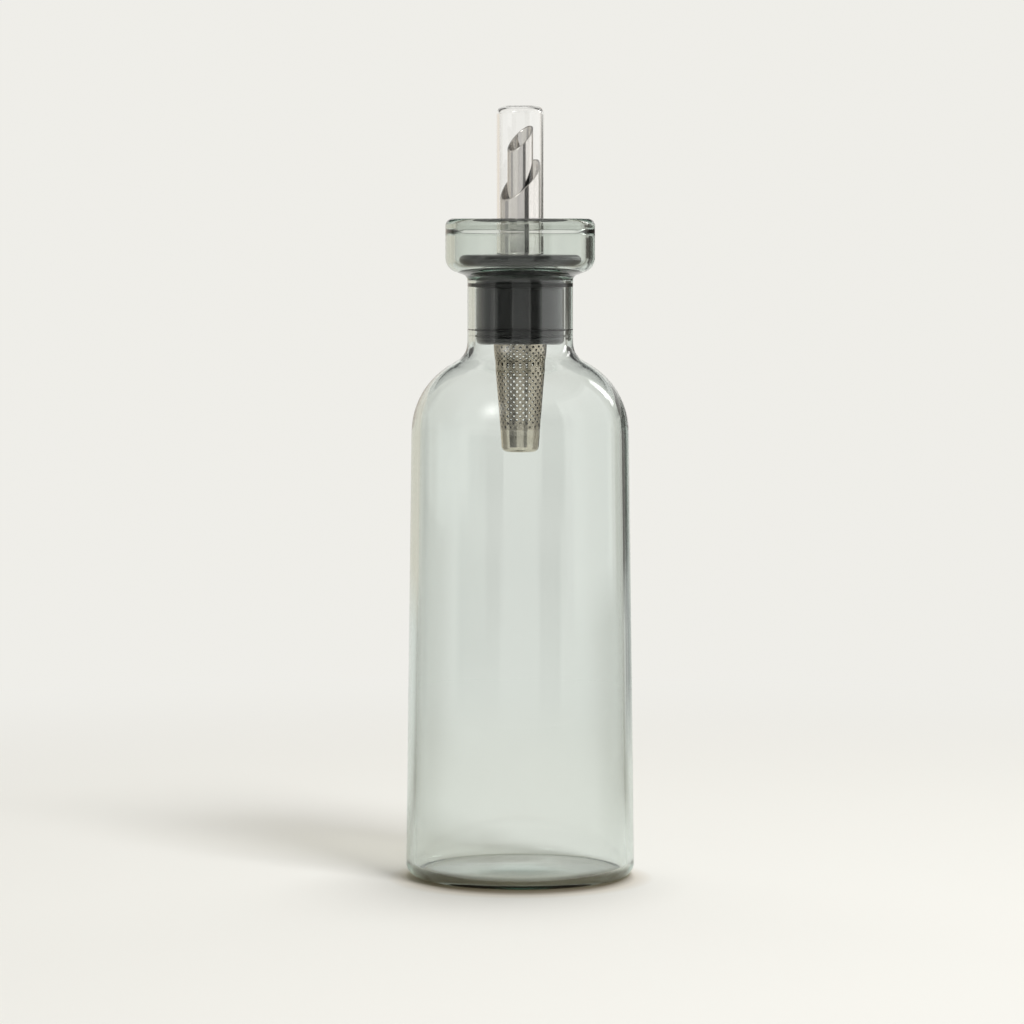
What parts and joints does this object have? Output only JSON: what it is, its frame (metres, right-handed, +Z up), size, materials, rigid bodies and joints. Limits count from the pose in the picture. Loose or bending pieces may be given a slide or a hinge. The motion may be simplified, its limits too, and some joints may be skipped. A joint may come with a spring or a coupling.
{
  "type": "oil and vinegar dispenser",
  "caption": "Glass oil and vinegar dispenser: tapered bottle with a cupped rim, drip-return double spout on a stopper, clear spout cap and perforated infuser basket.",
  "frame": {"origin": "centre of the foot, on the surface that the bottle stands on", "axes": "+Z up along the bottle's axis, +X the way the tip of the spout points"},
  "size_m": [0.0752, 0.0752, 0.2526],
  "materials": {
    "smoked_glass": "fire-polished clear glass with a faint grey-green tint",
    "clear_cap": "polished clear plastic",
    "black_plastic": "moulded, satin to glossy",
    "black_silicone": "matt silicone",
    "spout_steel": "fine brushed along the tube",
    "basket_steel": "rolled perforated sheet, satin"
  },
  "bodies": {
    "bottle": {"bottle": "smoked_glass"},
    "seals": {"upper_seal_ring": "black_silicone", "lower_seal_ring": "black_silicone"},
    "stopper": {"stopper_body": "black_plastic", "stopper_core": "black_plastic", "basket_grip_ring": "black_silicone", "spout_outer_tube": "spout_steel", "spout_inner_tube": "spout_steel"},
    "basket": {"basket_collar": "basket_steel", "basket_cone": "basket_steel", "basket_end_cup": "basket_steel"},
    "cap": {"cap": "clear_cap"}
  },
  "joints": [
    {"name": "stopper_lift", "type": "slide", "parent": "bottle", "child": "seals", "axis": [0, 0, 1], "range_m": [0, 0.085]},
    {"name": "stopper_swivel", "type": "hinge", "parent": "seals", "child": "stopper", "pos_m": [0, 0, 0.2], "axis": [0, 0, 1], "continuous": true},
    {"name": "cap_lift", "type": "slide", "parent": "stopper", "child": "cap", "axis": [0, 0, 1], "range_m": [0, 0.05]},
    {"name": "basket_release", "type": "slide", "parent": "stopper", "child": "basket", "axis": [0, 0, -1], "range_m": [0, 0.02]}
  ]
}
